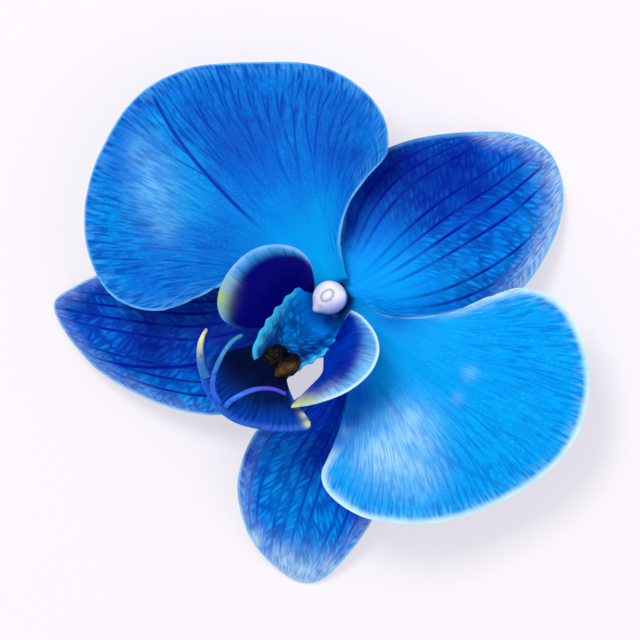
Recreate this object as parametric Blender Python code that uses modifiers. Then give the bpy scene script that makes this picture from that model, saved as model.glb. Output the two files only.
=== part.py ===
"""A moth orchid bloom as picked, lying on its back with its face up.

The flower frame: +X towards the right petal, +Y towards the tip of the upper sepal and +Z where
the bloom faces, with zero where the sepals and petals meet. Outlines are in millimetres in that
frame. At the end the bloom is moved so that the middle of its underside is the world's origin.
"""

import math

import bmesh
import bpy
from mathutils import Matrix, Vector

MM = 0.001

# Driving dimensions, in millimetres
FLOOR_Z = -11.5            # the surface that the bloom lies on, below the sepals' roots
BLADE = 0.8                # thickness of sepals and petals
LIP_BLADE = 0.9            # thickness of the lip's sheets
SEPAL_ROOT_Z = 1.1         # middle of a sepal's sheet where it joins
PETAL_ROOT_Z = 2.4         # the petals join in front of the sepals
PETAL_LENGTH = 47.0
PETAL_DOME = 3.4           # how far a petal bulges forward
PETAL_FALL = 1.9           # how far its far rim falls back again
SEPAL_CUP = 1.5            # how far a sepal's side margins fall back
SEPAL_BEND = 2.3           # power of the sepals' droop
SEPAL_CUP_FADE = 0.6       # the cup flattens towards the tip
TIP_LIFT = 0.38            # middle of a sepal's sheet above the floor at its tip
RIPPLE = 0.7               # height of the waves along a petal's rim
RIPPLE_WAVES = 2.5
MIDRIB = 0.55              # depth of the groove along a midrib
MIDRIB_SHARE = 0.06        # its half width, as a share of the blade's
CAP_RADIUS = 2.95
CAP_HEIGHT = 2.5
CAP_WALL = 0.75
CAP_SEAT_Z = 9.9
COLUMN_TIP = (-1.3, -2.8)  # the column leans this far off the axis at its tip
COLUMN_BASE = (-1.3, -1.6)
STIGMA = ((0.0, -2.9, 7.2), (1.5, 1.5, 1.7))  # hollow under the tip: place from the tip's axis, radii
SEAT_GAP = 0.3             # left between pieces that touch
RECEPTACLE_TOP_Z = 0.35
PEDICEL_START = (-1.3, -1.3)
PEDICEL_AWAY = (-0.64, -0.77, 0.0)  # the way the stalk runs along the floor
PEDICEL_FLAT = 0.35        # how much of the stalk's underside is pressed flat

# Each outline runs from one end of the root round to its other end. The sides end at the two
# corners, which are points of the outline, and the rim lies between them.
PETAL_LEFT = {
    "root": ((-4.3, -4.2), (-2.6, 1.7)),
    "outline": [
        (-7.6, -4.6), (-12.0, -8.6), (-15.6, -14.4), (-17.0, -20.4), (-19.8, -27.4),
        (-25.4, -31.4), (-31.6, -31.9), (-38.8, -28.5), (-45.6, -22.2), (-50.4, -13.0),
        (-52.6, -4.3), (-50.2, 4.8), (-44.0, 13.3), (-35.8, 21.8), (-27.6, 25.2),
        (-20.2, 24.9), (-15.2, 21.3), (-13.9, 15.2), (-12.2, 9.8), (-8.3, 4.6),
    ],
    "corners": (3, 16),
}
PETAL_RIGHT = {
    "root": ((0.1, 1.8), (1.6, -4.1)),
    "outline": [
        (6.6, 2.2), (10.9, 6.6), (14.2, 12.2), (16.0, 18.2), (19.0, 24.6),
        (25.0, 27.6), (33.4, 25.8), (40.4, 20.8), (44.8, 13.5), (45.8, 5.0),
        (43.8, -5.6), (39.6, -14.8), (32.4, -22.3), (25.4, -24.9), (20.8, -23.6),
        (19.0, -17.6), (15.8, -11.8), (12.0, -8.0), (7.6, -4.6),
    ],
    "corners": (3, 15),
}
SEPAL_UPPER = {
    "root": ((2.2, 0.6), (-4.8, 0.6)),
    "outline": [
        (9.4, 5.2), (14.8, 11.4), (17.6, 18.6), (17.4, 27.2), (13.6, 36.0),
        (7.8, 41.8), (1.0, 44.0), (-4.6, 40.9), (-10.8, 33.0), (-15.4, 25.0),
        (-17.2, 18.2), (-15.0, 11.4), (-9.6, 5.4),
    ],
    "corners": (4, 8),
    "tip": (1.0, 44.0),
}
SEPAL_LEFT = {
    "root": ((-4.9, -1.9), (-1.5, -4.2)),
    "outline": [
        (-9.4, -2.8), (-17.8, -9.0), (-26.0, -18.4), (-32.2, -28.4), (-35.2, -36.2),
        (-35.6, -41.2), (-30.6, -42.9), (-21.6, -42.8), (-12.6, -40.1), (-4.9, -35.8),
        (0.8, -30.2), (3.2, -22.0), (3.2, -13.2), (1.6, -6.4),
    ],
    "corners": (3, 7),
    "tip": (-35.6, -41.2),
}
SEPAL_RIGHT = {
    "root": ((-0.6, -4.1), (2.3, -1.9)),
    "outline": [
        (4.8, -7.0), (7.3, -14.0), (7.0, -21.0), (6.9, -28.4), (11.4, -36.4),
        (19.2, -40.7), (26.4, -40.9), (32.0, -38.8), (33.8, -33.6), (31.6, -22.0),
        (25.0, -13.0), (16.4, -6.2), (9.0, -2.2),
    ],
    "corners": (5, 8),
    "tip": (32.0, -38.8),
}
MIDLOBE = {
    "root": ((3.4, -15.4), (-2.4, -15.4)),
    "outline": [
        (4.8, -17.6), (8.4, -19.0), (14.2, -19.6), (12.6, -23.2), (9.2, -26.8),
        (5.8, -29.2), (2.7, -30.1), (-1.0, -29.9), (-4.4, -28.6), (-6.2, -25.8),
        (-5.0, -22.4), (-3.8, -19.2), (-3.0, -17.2),
    ],
    "corners": (2, 9),
    "middle": 0.6,
}

# The lip's side lobes, each a strip between two lines of (x, y, z) that run from the column's side
# to the far end
LOBE_RIGHT = {
    "root": [
        (3.0, -3.6, 5.2), (4.9, -7.0, 7.0), (5.4, -9.6, 7.8), (6.7, -10.7, 8.8), (8.4, -12.4, 10.2),
        (9.1, -16.0, 12.2), (9.4, -19.4, 13.2),
    ],
    "rim": [
        (2.6, -1.2, 7.4), (5.6, -0.5, 11.2), (9.6, -0.8, 14.2), (12.7, -2.6, 16.2),
        (14.4, -6.2, 16.9), (14.2, -11.2, 16.6), (12.2, -16.4, 15.2), (9.8, -20.2, 13.7),
    ],
    "inward": -1.0,
    "bulge": 1.2,
}
LOBE_LEFT = {
    "root": [(-2.9, -5.2, 5.9), (-3.2, -11.2, 8.3)],
    "rim": [
        (-6.0, -3.0, 8.4), (-8.8, -0.9, 12.7), (-12.0, -1.5, 15.6), (-14.7, -4.8, 16.7),
        (-15.7, -9.0, 16.9), (-15.1, -13.8, 16.6), (-13.2, -17.6, 15.6), (-10.4, -19.4, 14.0),
        (-7.4, -18.4, 11.8), (-5.2, -14.8, 8.8),
    ],
    "inward": 1.0,
    "bulge": 2.3,
}
LOBE_BULGE_PLACE = 1.6     # above 1, the bulge moves from the middle of the strip towards its rim

MIDLOBE_BASE_Z = 8.9
MIDLOBE_RISE = 0.54        # the mid lobe leans forward by this for each millimetre down
MIDLOBE_SIDE_LIFT = 0.014  # its sides turn up by this times the square of the way out
MIDLOBE_KEEL = 1.3
MIDLOBE_KEEL_WIDTH = 1.7

# The lip's floor is a trough: its edges and its middle as (x, y, z)
LIP_FLOOR = {
    "left": [
        (-5.4, -3.4, 8.4), (-5.9, -6.4, 10.4), (-5.5, -11.0, 11.6), (-4.4, -15.2, 12.2), (-2.8, -18.8, 12.2),
    ],
    "middle": [(0.0, -5.15, 3.7), (0.0, -7.5, 4.9), (-0.1, -11.2, 6.8), (0.2, -15.6, 9.0), (0.9, -20.2, 11.4)],
    "right": [(3.4, -3.2, 5.8), (5.4, -7.0, 7.6), (5.6, -10.2, 8.7), (5.1, -13.6, 9.6), (4.8, -17.6, 10.8)],
}

# Tubes, as (x, y, z, radius)
TENDRIL_LEFT = [
    (2.4, -29.3, 16.4, 0.5), (-0.6, -28.6, 18.2, 0.48), (-2.5, -26.8, 19.4, 0.45),
    (-4.0, -23.8, 20.4, 0.42), (-4.9, -20.8, 20.0, 0.38), (-4.9, -18.6, 18.4, 0.35),
]
TENDRIL_RIGHT = [
    (3.0, -29.3, 16.4, 0.5), (2.6, -28.0, 18.2, 0.48), (3.0, -25.4, 18.6, 0.45),
    (3.8, -22.8, 17.6, 0.42), (5.4, -20.6, 15.9, 0.38), (7.4, -19.4, 14.4, 0.35),
]
BARB_LEFT = [
    (-3.6, -28.2, 16.1, 0.95), (-6.6, -27.4, 17.0, 0.85), (-9.2, -25.8, 17.7, 0.65),
    (-10.6, -23.6, 18.0, 0.35),
]
COLUMN_FOOT = [(-1.1, -2.2, 3.5, 1.4), (-0.8, -3.4, 3.5, 1.4), (-0.4, -4.5, 3.7, 1.1)]

# The callus: two bumps side by side, as centre and radii
CALLUS = [((0.5, -17.2, 10.4), (1.9, 3.0, 2.0)), ((3.1, -16.4, 10.4), (1.9, 3.0, 2.0))]

# Pollen masses and the stipe that carries them, as place from the cap's seat, and radii
STIPE = ((0.0, -0.55, 0.35), (0.95, 0.55, 0.32))
POLLEN_MASSES = [((-0.6, 0.2, 0.62), (0.62, 0.8, 0.6)), ((0.6, 0.2, 0.62), (0.62, 0.8, 0.6))]

# Grid steps along and across each sheet
PETAL_GRID = (11, 22)
SEPAL_GRID = (10, 16)
MIDLOBE_GRID = (5, 26)
LOBE_GRID = (7, 12)
FLOOR_GRID = (8, 6)

BLUE_PETAL = (0.010, 0.260, 0.860, 1.0)
BLUE_SEPAL = (0.006, 0.110, 0.600, 1.0)
BLUE_LIP = (0.010, 0.060, 0.420, 1.0)
BLUE_COLUMN = (0.020, 0.190, 0.700, 1.0)
WHITE_CAP = (0.860, 0.800, 0.880, 1.0)
YELLOW_POLLEN = (0.850, 0.560, 0.060, 1.0)
GREEN_STALK = (0.020, 0.090, 0.090, 1.0)


def clear_scene():
    for obj in list(bpy.data.objects):
        bpy.data.objects.remove(obj, do_unlink=True)
    for group in list(bpy.data.collections):
        bpy.data.collections.remove(group)


def make_collection(name):
    group = bpy.data.collections.new(name)
    bpy.context.scene.collection.children.link(group)
    return group


def make_material(name, colour, roughness):
    material = bpy.data.materials.new(name)
    material.use_nodes = True
    shader = material.node_tree.nodes["Principled BSDF"]
    shader.inputs["Base Color"].default_value = colour
    shader.inputs["Roughness"].default_value = roughness
    shader.inputs["Metallic"].default_value = 0.0
    material.diffuse_color = colour
    return material


def curve_point(points, place):
    """The point at place, 0 to 1, on a smooth line through the points."""
    points = [Vector(point) for point in points]
    spans = [(b - a).length for a, b in zip(points, points[1:])]
    distance = min(max(place, 0.0), 1.0) * sum(spans)
    index = 0
    while index < len(spans) - 1 and distance > spans[index]:
        distance -= spans[index]
        index += 1
    f = min(distance / spans[index], 1.0)
    before = points[max(index - 1, 0)]
    a = points[index]
    b = points[index + 1]
    after = points[min(index + 2, len(points) - 1)]
    return (
        a * 2.0
        + (b - before) * f
        + (before * 2.0 - a * 5.0 + b * 4.0 - after) * f ** 2
        + (a * 3.0 - before - b * 3.0 + after) * f ** 3
    ) * 0.5


def new_object(name, mesh, group, material):
    obj = bpy.data.objects.new(name, mesh)
    group.objects.link(obj)
    mesh.materials.append(material)
    return obj


def make_sheet(name, grid, place, thickness, group, material):
    """A grid whose points are put in place, (along, across) to millimetres, then thickened."""
    mesh = bpy.data.meshes.new(name)
    bm = bmesh.new()
    bmesh.ops.create_grid(bm, x_segments=grid[0], y_segments=grid[1], size=0.5)
    for vert in bm.verts:
        vert.co = place(vert.co.x + 0.5, vert.co.y + 0.5) * MM
    bm.to_mesh(mesh)
    bm.free()
    obj = new_object(name, mesh, group, material)
    obj.modifiers.new("split", "TRIANGULATE")
    solid = obj.modifiers.new("thickness", "SOLIDIFY")
    solid.thickness = thickness * MM
    solid.offset = 0.0
    return obj


def share_of(points, number):
    """How far along the line through the points the numbered one lies, 0 to 1."""
    spans = [(Vector(b) - Vector(a)).length for a, b in zip(points, points[1:])]
    return sum(spans[:number]) / sum(spans)


def make_patch(shape):
    """A flat sheet's map: its veins run from the root, at s = 0, to the rim, at s = 1."""
    root = [Vector((*point, 0.0)) for point in shape["root"]]
    border = [root[0], *[Vector((*point, 0.0)) for point in shape["outline"]], root[1]]
    first, last = [share_of(border, number + 1) for number in shape["corners"]]
    corners = (curve_point(border, first), curve_point(border, last))

    def patch(s, t):
        across = root[0].lerp(root[1], t) * (1.0 - s) + curve_point(border, first + (last - first) * t) * s
        along = curve_point(border, first * s).lerp(curve_point(border, 1.0 - (1.0 - last) * s), t)
        straight = root[0].lerp(root[1], t) * (1.0 - s) + corners[0].lerp(corners[1], t) * s
        return across + along - straight

    return patch


def midrib_depth(s, t):
    return MIDRIB * math.exp(-((t - 0.5) / MIDRIB_SHARE) ** 2) * math.sin(math.pi * s)


def petal_place(shape, phase):
    patch = make_patch(shape)
    middle = patch(0.0, 0.5)

    def place(s, t):
        flat = patch(s, t)
        reach = (flat - middle).length / PETAL_LENGTH
        z = PETAL_ROOT_Z + PETAL_DOME * math.sin(math.pi * min(reach, 1.1)) - PETAL_FALL * reach ** 2
        z += RIPPLE * s ** 4 * math.sin(2.0 * math.pi * RIPPLE_WAVES * t + phase)
        return Vector((flat.x, flat.y, z - midrib_depth(s, t)))

    return place


def sepal_place(shape):
    patch = make_patch(shape)
    middle = patch(0.0, 0.5)
    reach_of_tip = (Vector((*shape["tip"], 0.0)) - middle).length
    droop = SEPAL_ROOT_Z - FLOOR_Z - TIP_LIFT

    def place(s, t):
        flat = patch(s, t)
        reach = (flat - middle).length / reach_of_tip
        side = 2.0 * t - 1.0
        z = SEPAL_ROOT_Z - droop * reach ** SEPAL_BEND
        z -= SEPAL_CUP * side ** 2 * math.sin(math.pi * min(s, 0.9)) * (1.0 - SEPAL_CUP_FADE * reach)
        return Vector((flat.x, flat.y, z - midrib_depth(s, t)))

    return place


def make_midlobe_place():
    patch = make_patch(MIDLOBE)

    def place(s, t):
        flat = patch(s, t)
        below = MIDLOBE["root"][0][1] - flat.y
        off_middle = flat.x - (MIDLOBE["middle"] + 0.15 * below)
        z = MIDLOBE_BASE_Z + MIDLOBE_RISE * below + MIDLOBE_SIDE_LIFT * off_middle ** 2
        z += MIDLOBE_KEEL * math.exp(-(off_middle / MIDLOBE_KEEL_WIDTH) ** 2)
        return Vector((flat.x, flat.y, z))

    return place


def floor_place(s, t):
    left, middle, right = [curve_point(LIP_FLOOR[side], s) for side in ("left", "middle", "right")]
    return (
        left * (1.0 - t) * (1.0 - 2.0 * t)
        + middle * 4.0 * t * (1.0 - t)
        + right * t * (2.0 * t - 1.0)
    )


def lobe_place(lobe):
    """From the floor's side up to the rim, bulging towards the column between the two."""

    def place(v, u):
        share = u if lobe["inward"] < 0.0 else 1.0 - u
        bulge = lobe["bulge"] * math.sin(math.pi * v ** LOBE_BULGE_PLACE)
        bulge *= 0.15 + 0.85 * math.sin(math.pi * share)
        point = curve_point(lobe["root"], share).lerp(curve_point(lobe["rim"], share), v)
        return point + Vector((lobe["inward"] * 0.7, 0.0, 0.7)) * bulge

    return place


def make_tube(name, route, group, material, steps=3, resolution=4):
    """A closed tube along a smooth line through the route's points, (x, y, z, radius)."""
    curve = bpy.data.curves.new(name, "CURVE")
    curve.dimensions = "3D"
    curve.bevel_depth = MM
    curve.bevel_resolution = resolution
    curve.use_fill_caps = True
    count = (len(route) - 1) * steps + 1
    spline = curve.splines.new("POLY")
    spline.points.add(count - 1)
    for index, point in enumerate(spline.points):
        place = curve_point(route, index / (count - 1))
        point.co = (place.xyz * MM).to_4d()
        point.radius = place.w
    tube = bpy.data.objects.new(name, curve)
    group.objects.link(tube)
    bpy.context.view_layer.update()
    mesh = bpy.data.meshes.new_from_object(tube.evaluated_get(bpy.context.evaluated_depsgraph_get()))
    bm = bmesh.new()
    bm.from_mesh(mesh)
    bmesh.ops.remove_doubles(bm, verts=bm.verts, dist=0.00001)
    bmesh.ops.recalc_face_normals(bm, faces=bm.faces)
    bm.to_mesh(mesh)
    bm.free()
    bpy.data.objects.remove(tube, do_unlink=True)
    return new_object(name, mesh, group, material)


def make_ellipsoid(name, centre, radii, group, material, sides=(20, 12)):
    mesh = bpy.data.meshes.new(name)
    bm = bmesh.new()
    bmesh.ops.create_uvsphere(bm, u_segments=sides[0], v_segments=sides[1], radius=MM)
    bmesh.ops.transform(bm, matrix=Matrix.Diagonal((*radii, 1.0)), verts=bm.verts)
    bmesh.ops.translate(bm, vec=Vector(centre) * MM, verts=bm.verts)
    bm.to_mesh(mesh)
    bm.free()
    return new_object(name, mesh, group, material)


def combine(obj, other, operation):
    """A Boolean with an object or a collection, applied, with what it used then removed."""
    boolean = obj.modifiers.new(operation.lower(), "BOOLEAN")
    boolean.operation = operation
    boolean.solver = "MANIFOLD" if isinstance(other, bpy.types.Collection) else "EXACT"
    if isinstance(other, bpy.types.Collection):
        boolean.operand_type = "COLLECTION"
        boolean.collection = other
        used = list(other.objects)
    else:
        boolean.object = other
        used = [other]
    apply_modifiers(obj)
    for piece in used:
        bpy.data.objects.remove(piece, do_unlink=True)


def apply_modifiers(obj):
    bpy.context.view_layer.update()
    graph = bpy.context.evaluated_depsgraph_get()
    mesh = bpy.data.meshes.new_from_object(obj.evaluated_get(graph))
    obj.modifiers.clear()
    obj.data = mesh


def press_on_floor(obj):
    """Points below the floor come up to it, which leaves a small flat spot."""
    apply_modifiers(obj)
    for vert in obj.data.vertices:
        vert.co.z = max(vert.co.z, FLOOR_Z * MM)


def shade(obj):
    obj.data.shade_smooth()
    obj.data.set_sharp_from_angle(angle=math.radians(50.0))


def make_petals(group):
    blue = make_material("petal_blue", BLUE_PETAL, 0.45)
    left = petal_place(PETAL_LEFT, 0.4)
    right = petal_place(PETAL_RIGHT, 1.9)
    return [
        make_sheet("petal_left", PETAL_GRID, left, BLADE, group, blue),
        make_sheet("petal_right", PETAL_GRID, right, BLADE, group, blue),
    ]


def make_sepals(group):
    blue = make_material("sepal_blue", BLUE_SEPAL, 0.5)
    shapes = {
        "sepal_upper": SEPAL_UPPER,
        "sepal_lower_left": SEPAL_LEFT,
        "sepal_lower_right": SEPAL_RIGHT,
    }
    sepals = []
    for name, shape in shapes.items():
        sepal = make_sheet(name, SEPAL_GRID, sepal_place(shape), BLADE, group, blue)
        press_on_floor(sepal)
        sepals.append(sepal)
    return sepals


def make_lip(group):
    blue = make_material("lip_blue", BLUE_LIP, 0.4)
    joined = make_collection("lip_sheets")
    lip = make_sheet("lip", MIDLOBE_GRID, make_midlobe_place(), LIP_BLADE, group, blue)
    apply_modifiers(lip)
    make_sheet("lip_floor", FLOOR_GRID, floor_place, LIP_BLADE, joined, blue)
    for name, lobe in (("lip_lobe_right", LOBE_RIGHT), ("lip_lobe_left", LOBE_LEFT)):
        make_sheet(name, LOBE_GRID, lobe_place(lobe), LIP_BLADE, joined, blue)
    for index, (centre, radii) in enumerate(CALLUS):
        make_ellipsoid(f"lip_callus_{index}", centre, radii, joined, blue, sides=(14, 9))
    make_tube("lip_tendril_left", TENDRIL_LEFT, joined, blue, resolution=1)
    make_tube("lip_tendril_right", TENDRIL_RIGHT, joined, blue, resolution=1)
    make_tube("lip_barb", BARB_LEFT, joined, blue, resolution=2)
    combine(lip, joined, "UNION")
    bpy.data.collections.remove(joined)
    return lip


def column_route(bottom, top):
    """Up from the base, leaning over to the tip and widening on the way."""
    base = Vector((*COLUMN_BASE, 0.0))
    tip = Vector((*COLUMN_TIP, 0.0))
    stations = [(0.0, 0.0, 1.8), (0.22, 0.05, 1.7), (0.55, 0.35, 2.2), (0.87, 0.8, 2.8), (1.0, 1.0, 2.5)]
    route = []
    for height, lean, radius in stations:
        place = base.lerp(tip, lean)
        route.append((place.x, place.y, bottom + (top - bottom) * height, radius))
    return route


def make_column(group, cutters):
    blue = make_material("column_blue", BLUE_COLUMN, 0.4)
    bottom = RECEPTACLE_TOP_Z + SEAT_GAP
    top = CAP_SEAT_Z - SEAT_GAP
    column = make_tube("column", column_route(bottom, top), group, blue, steps=2)
    for vert in column.data.vertices:
        vert.co.z = min(max(vert.co.z, bottom * MM), top * MM)
    combine(column, make_tube("column_foot", COLUMN_FOOT, cutters, blue, steps=2), "UNION")
    place, radii = STIGMA
    centre = Vector((*COLUMN_TIP, 0.0)) + Vector(place)
    combine(column, make_ellipsoid("stigma_cutter", centre, radii, cutters, blue, (16, 10)), "DIFFERENCE")
    return column


def make_cap(group, cutters):
    """The small helmet on the column's tip, hollow where it covers the pollen."""
    white = make_material("cap_white", WHITE_CAP, 0.35)
    seat = Vector((*COLUMN_TIP, CAP_SEAT_Z))
    outer = (CAP_RADIUS, CAP_RADIUS, CAP_HEIGHT)
    inner = [radius - CAP_WALL for radius in outer]
    cap = make_ellipsoid("anther_cap", seat, outer, group, white, (24, 16))
    combine(cap, make_ellipsoid("cap_hollow", seat, inner, cutters, white), "DIFFERENCE")
    mesh = bpy.data.meshes.new("cap_underside")
    bm = bmesh.new()
    bmesh.ops.create_cube(bm, size=4.0 * CAP_RADIUS * MM)
    bm.to_mesh(mesh)
    bm.free()
    underside = new_object("cap_underside", mesh, cutters, white)
    underside.location = (seat - Vector((0.0, 0.0, 2.0 * CAP_RADIUS))) * MM
    combine(cap, underside, "DIFFERENCE")
    return cap


def make_pollinia(group):
    """Two pollen masses on their short stipe, under the cap."""
    yellow = make_material("pollen_yellow", YELLOW_POLLEN, 0.5)
    seat = Vector((*COLUMN_TIP, CAP_SEAT_Z))
    joined = make_collection("pollen_masses")
    place, radii = STIPE
    pollinia = make_ellipsoid("pollinia", seat + Vector(place), radii, group, yellow, (12, 8))
    for place, radii in POLLEN_MASSES:
        make_ellipsoid("pollen_mass", seat + Vector(place), radii, joined, yellow, (12, 8))
    combine(pollinia, joined, "UNION")
    bpy.data.collections.remove(joined)
    return pollinia


def pedicel_route():
    """From under the column straight back, then bent over to lie along the floor."""
    bend = [
        (0.0, RECEPTACLE_TOP_Z, 3.2), (0.0, -1.6, 2.9), (1.0, -4.6, 2.5), (4.2, -7.6, 2.4), (9.0, -9.2, 2.2),
    ]
    lying = [(16.0, 2.1), (24.0, 1.95), (29.0, 1.9)]
    away = Vector(PEDICEL_AWAY)
    stations = bend + [(out, FLOOR_Z + radius - PEDICEL_FLAT, radius) for out, radius in lying]
    start = Vector(PEDICEL_START)
    return [(start.x + away.x * out, start.y + away.y * out, height, radius) for out, height, radius in stations]


def make_pedicel(group):
    green = make_material("stalk_green", GREEN_STALK, 0.5)
    pedicel = make_tube("pedicel", pedicel_route(), group, green)
    press_on_floor(pedicel)
    return pedicel


def rest_on_origin(pieces):
    """Everything hangs from one empty, which puts the middle of the bloom's underside at zero."""
    bpy.context.view_layer.update()
    graph = bpy.context.evaluated_depsgraph_get()
    corners = [
        piece.matrix_world @ Vector(corner)
        for piece in pieces
        for corner in piece.evaluated_get(graph).bound_box
    ]
    lowest = Vector([min(corner[axis] for corner in corners) for axis in range(3)])
    highest = Vector([max(corner[axis] for corner in corners) for axis in range(3)])
    centre = (lowest + highest) / 2.0
    root = bpy.data.objects.new("flower_frame", None)
    bpy.context.scene.collection.objects.link(root)
    root.location = (-centre.x, -centre.y, -lowest.z)
    for piece in pieces:
        piece.parent = root


def main():
    clear_scene()
    flower = make_collection("orchid_flower")
    cutters = make_collection("cutters")
    pieces = make_sepals(flower) + make_petals(flower)
    pieces.append(make_lip(flower))
    pieces.append(make_column(flower, cutters))
    pieces.append(make_cap(flower, cutters))
    pieces.append(make_pollinia(flower))
    pieces.append(make_pedicel(flower))
    for piece in pieces:
        shade(piece)
    rest_on_origin(pieces)


main()
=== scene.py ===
import math
from functools import cache

import bpy
from mathutils import Matrix, Vector, kdtree, noise


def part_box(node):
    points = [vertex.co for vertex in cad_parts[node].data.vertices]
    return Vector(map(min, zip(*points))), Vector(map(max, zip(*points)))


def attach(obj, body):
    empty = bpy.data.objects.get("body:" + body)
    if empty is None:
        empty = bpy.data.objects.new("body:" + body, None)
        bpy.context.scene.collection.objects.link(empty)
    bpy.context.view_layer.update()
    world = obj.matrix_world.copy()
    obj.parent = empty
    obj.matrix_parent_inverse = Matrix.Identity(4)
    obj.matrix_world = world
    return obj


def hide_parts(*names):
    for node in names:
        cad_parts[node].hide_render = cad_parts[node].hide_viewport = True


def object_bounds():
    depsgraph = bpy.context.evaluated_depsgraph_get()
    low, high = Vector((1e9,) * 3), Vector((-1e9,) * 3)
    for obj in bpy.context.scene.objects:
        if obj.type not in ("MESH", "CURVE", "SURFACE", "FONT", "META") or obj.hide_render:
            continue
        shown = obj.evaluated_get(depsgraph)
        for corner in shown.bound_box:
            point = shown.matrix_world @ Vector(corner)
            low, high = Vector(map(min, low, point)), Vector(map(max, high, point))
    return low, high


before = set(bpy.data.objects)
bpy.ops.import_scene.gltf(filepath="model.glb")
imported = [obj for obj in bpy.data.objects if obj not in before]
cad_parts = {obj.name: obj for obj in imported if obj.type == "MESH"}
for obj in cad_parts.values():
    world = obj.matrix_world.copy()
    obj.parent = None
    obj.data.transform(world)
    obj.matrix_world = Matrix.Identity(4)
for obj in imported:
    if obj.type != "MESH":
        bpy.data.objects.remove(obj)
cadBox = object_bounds()
mm = 0.001

# the flower's own frame, in mm from its heart: x to the right petal, y to the upper sepal's tip,
# z where the bloom faces
capSeat = (-1.3, -2.8, 9.9)
restZ = -11.5  # the surface under the bloom
capLow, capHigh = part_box("anther_cap")
heart = Vector(((capLow[0] + capHigh[0]) / 2 - capSeat[0] * mm,
                (capLow[1] + capHigh[1]) / 2 - capSeat[1] * mm, capLow[2] - capSeat[2] * mm))
print("frame loaded, heart of the flower at", [round(value / mm, 2) for value in heart])

shot = {
    "lean": 8.0,  # degrees that the camera leans to the bloom's right
    "across": (0.643, 0.766),  # the picture's width runs this way over the bloom
    "aim": (-0.73, -6.6),
    "width": 113.0,  # mm that the picture takes in
    "distance": 900.0,
    "clip": 20.0,  # metres
}
lean = math.radians(shot["lean"])
towardCamera = Vector((math.sin(lean), 0, math.cos(lean)))
aside = Vector((math.cos(lean), 0, -math.sin(lean)))
upward = Vector((0, 1, 0))
pictureRight = (aside * shot["across"][0] + upward * shot["across"][1]).normalized()
pictureUp = towardCamera.cross(pictureRight)
aimPoint = heart + (aside * shot["aim"][0] + upward * shot["aim"][1]) * mm
turned = Matrix((pictureRight, pictureUp, towardCamera)).transposed()
bpy.ops.object.camera_add(location=aimPoint + towardCamera * shot["distance"] * mm,
                          rotation=turned.to_euler())
camera = bpy.context.object
camera.data.lens = camera.data.sensor_width * shot["distance"] / shot["width"]
camera.data.clip_end = shot["clip"]
bpy.context.scene.camera = camera
print("camera set")


# display colour, 0 to 255, as the shader wants it
def dye(red, green, blue):
    return tuple((value / 255) ** 2.2 for value in (red, green, blue)) + (1.0,)


# a node in the skin that newSkin opened last
def addNode(kind, inputs=None, **settings):
    made = nodeTree.nodes.new("ShaderNode" + kind)
    for key, value in settings.items():
        setattr(made, key, value)
    for key, value in (inputs or {}).items():
        if isinstance(value, bpy.types.NodeSocket):
            nodeTree.links.new(value, made.inputs[key])
        else:
            made.inputs[key].default_value = value
    return made


# the same sum over all its values, from the first on
def calc(operation, total, *others):
    for other in others or (0.0,):
        total = addNode("Math", {0: total, 1: other}, operation=operation).outputs[0]
    return total


def times(*values):
    return calc("MULTIPLY", *values)


def apart(first, second):
    return calc("ABSOLUTE", calc("SUBTRACT", first, second))


def ramp(value, start, end, low=0.0, high=1.0):
    inputs = {0: value, 1: start, 2: end, 3: low, 4: high}
    return addNode("MapRange", inputs, interpolation_type="SMOOTHSTEP").outputs[0]


# each colour is a socket or display values
def tint(share, *pair):
    first, second = [dye(*colour) if isinstance(colour, tuple) else colour for colour in pair]
    inputs = {0: share, 6: first, 7: second}
    return addNode("Mix", inputs, data_type="RGBA").outputs[2]


def painted(label):
    return addNode("Attribute", attribute_name=label, attribute_type="GEOMETRY").outputs["Fac"]


def speckle(vector, scale, detail=2.0, rough=0.5):
    inputs = {"Vector": vector, "Scale": scale, "Detail": detail, "Roughness": rough}
    return addNode("TexNoise", inputs).outputs[0]


# how far along a sheet or tube, and how far across it
def sheetWay():
    uv = addNode("UVMap", uv_map="UVMap").outputs[0]
    return addNode("SeparateXYZ", {0: uv}).outputs[:2]


def newSkin(name):
    global nodeTree
    skin = bpy.data.materials.new(name)
    skin.use_nodes = True
    nodeTree = skin.node_tree
    return skin, nodeTree.nodes["Principled BSDF"], addNode("TexCoord").outputs["Object"]


def finishSkin(shader, colour, roughness, height, depth, specular=0.5, strength=0.5):
    nodeTree.links.new(colour, shader.inputs["Base Color"])
    nodeTree.links.new(roughness, shader.inputs["Roughness"])
    bump = addNode("Bump", {"Height": height, "Distance": depth * mm, "Strength": strength})
    nodeTree.links.new(bump.outputs[0], shader.inputs["Normal"])
    shader.inputs["Specular IOR Level"].default_value = specular


# veins wander a little on their way out, the same in the shape and in the colour
wanderSize = 0.006
wanderTurns = 11.0
# how fine the noises on a sheet are
fineness = {"uneven": 220.0, "mottle": 330.0, "stir": 240.0, "patches": 95.0, "grain": 2600.0}


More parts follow.
